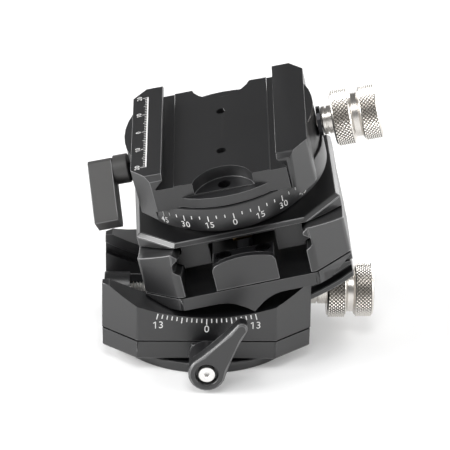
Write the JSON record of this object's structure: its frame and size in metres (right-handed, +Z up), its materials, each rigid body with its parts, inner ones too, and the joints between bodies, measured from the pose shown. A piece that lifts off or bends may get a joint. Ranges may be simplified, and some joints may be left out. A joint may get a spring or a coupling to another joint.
{
  "type": "geared tripod head",
  "caption": "Geared tripod head: panning base, two stacked arc slides driven by worm knobs and a panning dovetail clamp.",
  "frame": {"origin": "centre of the mounting disc's underside, on the tripod screw's axis", "axes": "+Z up, +Y away from the side with the base lever, +X towards the lower worm's knob"},
  "size_m": [0.0939, 0.0919, 0.0831],
  "materials": {
    "black_anodised": "satin black anodised",
    "stainless": "turned and knurled",
    "brass": "machined",
    "black_steel": "black oxide"
  },
  "bodies": {
    "mount": {"mount_disc": "black_anodised", "thread_bush": "stainless", "retaining_washer": "black_steel", "retaining_screw_1": "stainless", "retaining_screw_2": "stainless", "retaining_screw_3": "stainless"},
    "base": {"base_cover": "black_anodised", "base_body": "black_anodised", "base_brake_plug": "brass", "cover_screw_1": "stainless", "cover_screw_2": "stainless", "cover_screw_3": "stainless", "cover_screw_4": "stainless", "lower_worm_bush_1": "brass", "lower_worm_bush_2": "brass"},
    "base_lever": {"base_lever": "black_anodised", "base_lever_screw": "stainless"},
    "lower_worm": {"lower_worm": "stainless", "lower_knob": "stainless"},
    "carriage": {"carriage_plate": "black_anodised", "lower_slide": "black_anodised", "lower_rack": "brass", "slide_screw_1": "stainless", "slide_screw_2": "stainless", "guide_rail_left": "black_anodised", "guide_rail_right": "black_anodised", "rail_screw_1": "stainless", "rail_screw_2": "stainless", "rail_screw_3": "stainless", "rail_screw_4": "stainless", "worm_block_front": "black_anodised", "worm_block_rear": "black_anodised", "worm_block_screw_1": "black_steel", "worm_block_screw_2": "black_steel", "worm_block_screw_3": "black_steel", "worm_block_screw_4": "black_steel", "upper_worm_bush_1": "brass", "upper_worm_bush_2": "brass"},
    "upper_worm": {"upper_worm": "stainless", "upper_knob": "stainless"},
    "tilt": {"tilt_plate": "black_anodised", "upper_slide": "black_anodised", "upper_rack": "brass", "upper_slide_screw_1": "stainless", "upper_slide_screw_2": "stainless", "pan_scale_ring": "black_anodised", "ring_screw_1": "stainless", "ring_screw_2": "stainless", "pan_spindle": "stainless"},
    "clamp": {"clamp_body": "black_anodised", "pan_brake_plug": "brass", "jaw_guide_pin_1": "stainless", "jaw_guide_pin_2": "stainless"},
    "pan_lever": {"pan_lever": "black_anodised", "pan_lever_screw": "stainless"},
    "jaw": {"movable_jaw": "black_anodised"},
    "clamp_knob": {"clamp_knob": "stainless", "clamp_screw": "stainless", "clamp_washer": "black_steel"}
  },
  "joints": [
    {"name": "base_pan", "type": "hinge", "parent": "mount", "child": "base", "pos_m": [0, 0, 0.0102], "axis": [0, 0, 1], "continuous": true},
    {"name": "base_lever_turn", "type": "hinge", "parent": "base", "child": "base_lever", "pos_m": [0, -0.031, 0.0067], "axis": [0, -1, 0], "range_deg": [-30, 60]},
    {"name": "lower_worm_turn", "type": "hinge", "parent": "base", "child": "lower_worm", "pos_m": [0.0326, 0, 0.0144], "axis": [1, 0, 0], "range_deg": [0, 10612.7]},
    {"name": "lower_tilt", "type": "hinge", "parent": "base", "child": "carriage", "pos_m": [0, 0, 0.08565], "axis": [0, 1, 0], "range_deg": [0, 26]},
    {"name": "upper_worm_turn", "type": "hinge", "parent": "carriage", "child": "upper_worm", "pos_m": [0.01198, 0.0281, 0.03377], "axis": [0, -1, 0], "range_deg": [-9857.3, 1531.7]},
    {"name": "upper_tilt", "type": "hinge", "parent": "carriage", "child": "tilt", "pos_m": [-0.00519, 0, 0.10811], "axis": [0.9744, 0, 0.225], "range_deg": [-22.5, 3.5]},
    {"name": "clamp_pan", "type": "hinge", "parent": "tilt", "child": "clamp", "pos_m": [0.00613, 0.00842, 0.0591], "axis": [-0.2219, -0.165, 0.961], "continuous": true},
    {"name": "pan_lever_turn", "type": "hinge", "parent": "clamp", "child": "pan_lever", "pos_m": [-0.02525, 0.00655, 0.05413], "axis": [-0.9751, 0.0413, -0.218], "range_deg": [0, 60]},
    {"name": "jaw_slide", "type": "slide", "parent": "clamp", "child": "jaw", "axis": [0.9751, -0.0413, 0.218], "range_m": [0, 0.005]},
    {"name": "clamp_knob_turn", "type": "hinge", "parent": "jaw", "child": "clamp_knob", "pos_m": [0.03456, 0.00634, 0.07051], "axis": [0.9751, -0.0413, 0.218], "range_deg": [0, 2571.5]}
  ],
  "couplings": [
    {"joint": "lower_tilt", "follows": "lower_worm_turn", "ratio": 0.0024494},
    {"joint": "upper_tilt", "follows": "upper_worm_turn", "ratio": 0.0022821},
    {"joint": "clamp_knob_turn", "follows": "jaw_slide", "rad_per_m": 8976}
  ]
}
